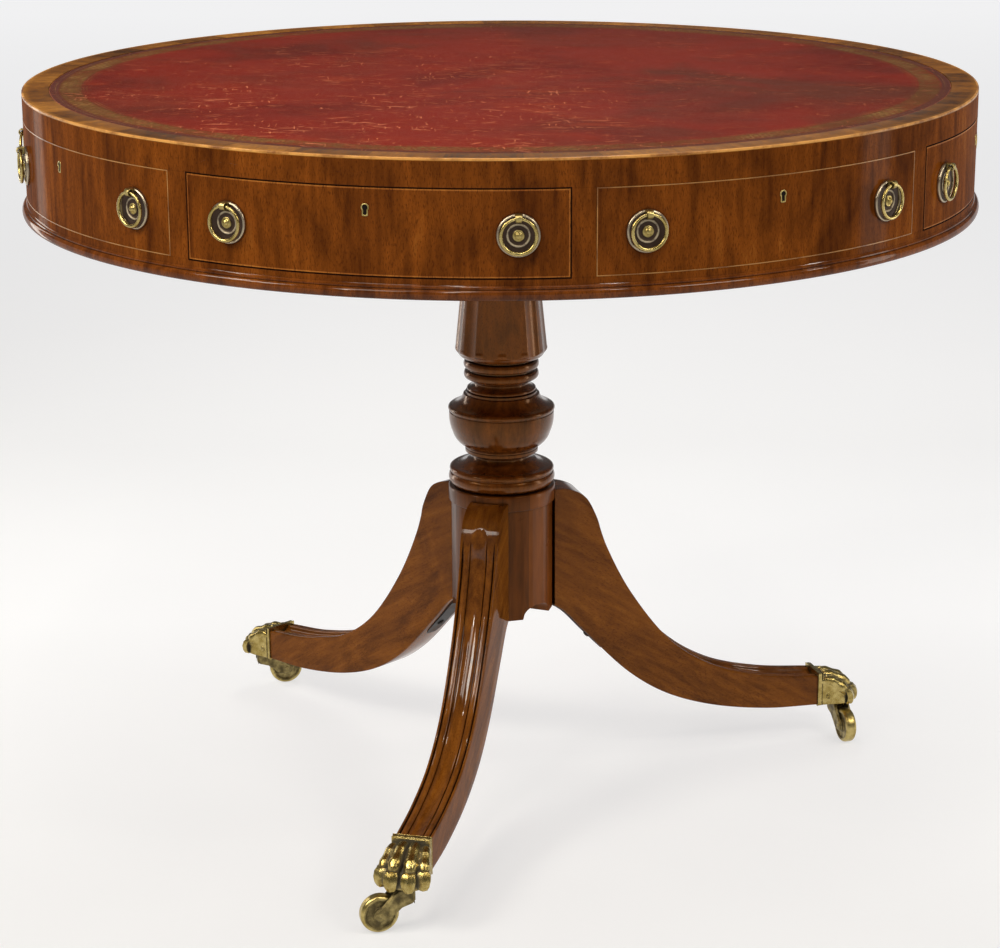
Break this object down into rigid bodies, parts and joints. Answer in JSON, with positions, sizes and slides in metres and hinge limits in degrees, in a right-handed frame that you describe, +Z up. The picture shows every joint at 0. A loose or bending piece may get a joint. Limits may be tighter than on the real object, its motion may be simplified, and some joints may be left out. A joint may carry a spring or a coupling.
{
  "type": "drum table",
  "caption": "Round revolving drum table: leather-lined top, bowed frieze drawers and dummy fronts with ring pulls, turned column, moulded sabre legs, paw caps and castors.",
  "frame": {"origin": "on the floor under the column's centre", "axes": "+Z up, -Y towards the drawer and the leg at the front, +X to the right of someone facing that drawer"},
  "size_m": [0.969, 0.969, 0.76],
  "materials": {
    "mahogany": "polished red-brown mahogany",
    "crossbanding": "polished golden veneer",
    "boxwood": "polished boxwood string",
    "oak": "unpolished drawer lining",
    "leather": "worn red leather with a tooled border",
    "brass": "aged lacquered brass",
    "iron": "blackened iron"
  },
  "bodies": {
    "base": {"platform": "mahogany", "thrust_washer": "iron", "pivot_pin": "iron", "column": "mahogany", "hub": "mahogany", "spider_plate": "iron", "leg_front": "mahogany", "paw_cap_front": "brass", "leg_right": "mahogany", "paw_cap_right": "brass", "leg_left": "mahogany", "paw_cap_left": "brass"},
    "drum": {"top_board": "mahogany", "crossbanding": "crossbanding", "leather_top": "leather", "boxwood_stringing": "boxwood", "frieze_rails": "mahogany", "frieze_stiles": "mahogany", "dummy_fronts": "mahogany", "base_moulding": "mahogany", "bottom_board": "oak", "drawer_runners": "oak", "drawer_partitions": "oak", "pivot_block": "oak", "dummy_brass": "brass"},
    "drawer_1": {"drawer_1_front": "mahogany", "drawer_1_box": "oak", "drawer_1_brass": "brass"},
    "drawer_2": {"drawer_2_front": "mahogany", "drawer_2_box": "oak", "drawer_2_brass": "brass"},
    "drawer_3": {"drawer_3_front": "mahogany", "drawer_3_box": "oak", "drawer_3_brass": "brass"},
    "drawer_4": {"drawer_4_front": "mahogany", "drawer_4_box": "oak", "drawer_4_brass": "brass"},
    "drawer_1_ring_left": {"drawer_1_ring_left": "brass"},
    "drawer_1_ring_right": {"drawer_1_ring_right": "brass"},
    "drawer_2_ring_left": {"drawer_2_ring_left": "brass"},
    "drawer_2_ring_right": {"drawer_2_ring_right": "brass"},
    "drawer_3_ring_left": {"drawer_3_ring_left": "brass"},
    "drawer_3_ring_right": {"drawer_3_ring_right": "brass"},
    "drawer_4_ring_left": {"drawer_4_ring_left": "brass"},
    "drawer_4_ring_right": {"drawer_4_ring_right": "brass"},
    "dummy_1_ring_left": {"dummy_1_ring_left": "brass"},
    "dummy_1_ring_right": {"dummy_1_ring_right": "brass"},
    "dummy_2_ring_left": {"dummy_2_ring_left": "brass"},
    "dummy_2_ring_right": {"dummy_2_ring_right": "brass"},
    "dummy_3_ring_left": {"dummy_3_ring_left": "brass"},
    "dummy_3_ring_right": {"dummy_3_ring_right": "brass"},
    "dummy_4_ring_left": {"dummy_4_ring_left": "brass"},
    "dummy_4_ring_right": {"dummy_4_ring_right": "brass"},
    "castor_front": {"castor_horn_front": "brass"},
    "wheel_front": {"castor_wheel_front": "brass"},
    "castor_right": {"castor_horn_right": "brass"},
    "wheel_right": {"castor_wheel_right": "brass"},
    "castor_left": {"castor_horn_left": "brass"},
    "wheel_left": {"castor_wheel_left": "brass"}
  },
  "joints": [
    {"name": "drum_turn", "type": "hinge", "parent": "base", "child": "drum", "pos_m": [0, 0, 0.6357], "axis": [0, 0, 1], "continuous": true},
    {"name": "drawer_1_slide", "type": "slide", "parent": "drum", "child": "drawer_1", "axis": [0, -1, 0], "range_m": [0, 0.22]},
    {"name": "drawer_2_slide", "type": "slide", "parent": "drum", "child": "drawer_2", "axis": [1, 0, 0], "range_m": [0, 0.22]},
    {"name": "drawer_3_slide", "type": "slide", "parent": "drum", "child": "drawer_3", "axis": [0, 1, 0], "range_m": [0, 0.22]},
    {"name": "drawer_4_slide", "type": "slide", "parent": "drum", "child": "drawer_4", "axis": [-1, 0, 0], "range_m": [0, 0.22]},
    {"name": "drawer_1_ring_left_swing", "type": "hinge", "parent": "drawer_1", "child": "drawer_1_ring_left", "pos_m": [-0.13244, -0.46802, 0.7093], "axis": [-0.9622, 0.2723, 0], "range_deg": [-4, 180]},
    {"name": "drawer_1_ring_right_swing", "type": "hinge", "parent": "drawer_1", "child": "drawer_1_ring_right", "pos_m": [0.13244, -0.46802, 0.7093], "axis": [-0.9622, -0.2723, 0], "range_deg": [-4, 180]},
    {"name": "drawer_2_ring_left_swing", "type": "hinge", "parent": "drawer_2", "child": "drawer_2_ring_left", "pos_m": [0.46802, -0.13244, 0.7093], "axis": [-0.2723, -0.9622, 0], "range_deg": [-4, 180]},
    {"name": "drawer_2_ring_right_swing", "type": "hinge", "parent": "drawer_2", "child": "drawer_2_ring_right", "pos_m": [0.46802, 0.13244, 0.7093], "axis": [0.2723, -0.9622, 0], "range_deg": [-4, 180]},
    {"name": "drawer_3_ring_left_swing", "type": "hinge", "parent": "drawer_3", "child": "drawer_3_ring_left", "pos_m": [0.13244, 0.46802, 0.7093], "axis": [0.9622, -0.2723, 0], "range_deg": [-4, 180]},
    {"name": "drawer_3_ring_right_swing", "type": "hinge", "parent": "drawer_3", "child": "drawer_3_ring_right", "pos_m": [-0.13244, 0.46802, 0.7093], "axis": [0.9622, 0.2723, 0], "range_deg": [-4, 180]},
    {"name": "drawer_4_ring_left_swing", "type": "hinge", "parent": "drawer_4", "child": "drawer_4_ring_left", "pos_m": [-0.46802, 0.13244, 0.7093], "axis": [0.2723, 0.9622, 0], "range_deg": [-4, 180]},
    {"name": "drawer_4_ring_right_swing", "type": "hinge", "parent": "drawer_4", "child": "drawer_4_ring_right", "pos_m": [-0.46802, -0.13244, 0.7093], "axis": [-0.2723, 0.9622, 0], "range_deg": [-4, 180]},
    {"name": "dummy_1_ring_left_swing", "type": "hinge", "parent": "drum", "child": "dummy_1_ring_left", "pos_m": [0.23729, -0.42459, 0.7093], "axis": [-0.8729, -0.4879, 0], "range_deg": [-4, 180]},
    {"name": "dummy_1_ring_right_swing", "type": "hinge", "parent": "drum", "child": "dummy_1_ring_right", "pos_m": [0.42459, -0.23729, 0.7093], "axis": [-0.4879, -0.8729, 0], "range_deg": [-4, 180]},
    {"name": "dummy_2_ring_left_swing", "type": "hinge", "parent": "drum", "child": "dummy_2_ring_left", "pos_m": [0.42459, 0.23729, 0.7093], "axis": [0.4879, -0.8729, 0], "range_deg": [-4, 180]},
    {"name": "dummy_2_ring_right_swing", "type": "hinge", "parent": "drum", "child": "dummy_2_ring_right", "pos_m": [0.23729, 0.42459, 0.7093], "axis": [0.8729, -0.4879, 0], "range_deg": [-4, 180]},
    {"name": "dummy_3_ring_left_swing", "type": "hinge", "parent": "drum", "child": "dummy_3_ring_left", "pos_m": [-0.23729, 0.42459, 0.7093], "axis": [0.8729, 0.4879, 0], "range_deg": [-4, 180]},
    {"name": "dummy_3_ring_right_swing", "type": "hinge", "parent": "drum", "child": "dummy_3_ring_right", "pos_m": [-0.42459, 0.23729, 0.7093], "axis": [0.4879, 0.8729, 0], "range_deg": [-4, 180]},
    {"name": "dummy_4_ring_left_swing", "type": "hinge", "parent": "drum", "child": "dummy_4_ring_left", "pos_m": [-0.42459, -0.23729, 0.7093], "axis": [-0.4879, 0.8729, 0], "range_deg": [-4, 180]},
    {"name": "dummy_4_ring_right_swing", "type": "hinge", "parent": "drum", "child": "dummy_4_ring_right", "pos_m": [-0.23729, -0.42459, 0.7093], "axis": [-0.8729, 0.4879, 0], "range_deg": [-4, 180]},
    {"name": "castor_front_swivel", "type": "hinge", "parent": "base", "child": "castor_front", "pos_m": [0, -0.394, 0.043], "axis": [0, 0, 1], "continuous": true},
    {"name": "wheel_front_spin", "type": "hinge", "parent": "castor_front", "child": "wheel_front", "pos_m": [-0.0212, -0.40725, 0.019], "axis": [0.5299, -0.848, 0], "continuous": true},
    {"name": "castor_right_swivel", "type": "hinge", "parent": "base", "child": "castor_right", "pos_m": [0.34121, 0.197, 0.043], "axis": [0, 0, 1], "continuous": true},
    {"name": "wheel_right_spin", "type": "hinge", "parent": "castor_right", "child": "wheel_right", "pos_m": [0.35371, 0.17535, 0.019], "axis": [0.866, 0.5, 0], "continuous": true},
    {"name": "castor_left_swivel", "type": "hinge", "parent": "base", "child": "castor_left", "pos_m": [-0.34121, 0.197, 0.043], "axis": [0, 0, 1], "continuous": true},
    {"name": "wheel_left_spin", "type": "hinge", "parent": "castor_left", "child": "wheel_left", "pos_m": [-0.31914, 0.20874, 0.019], "axis": [-0.4695, 0.8829, 0], "continuous": true}
  ]
}
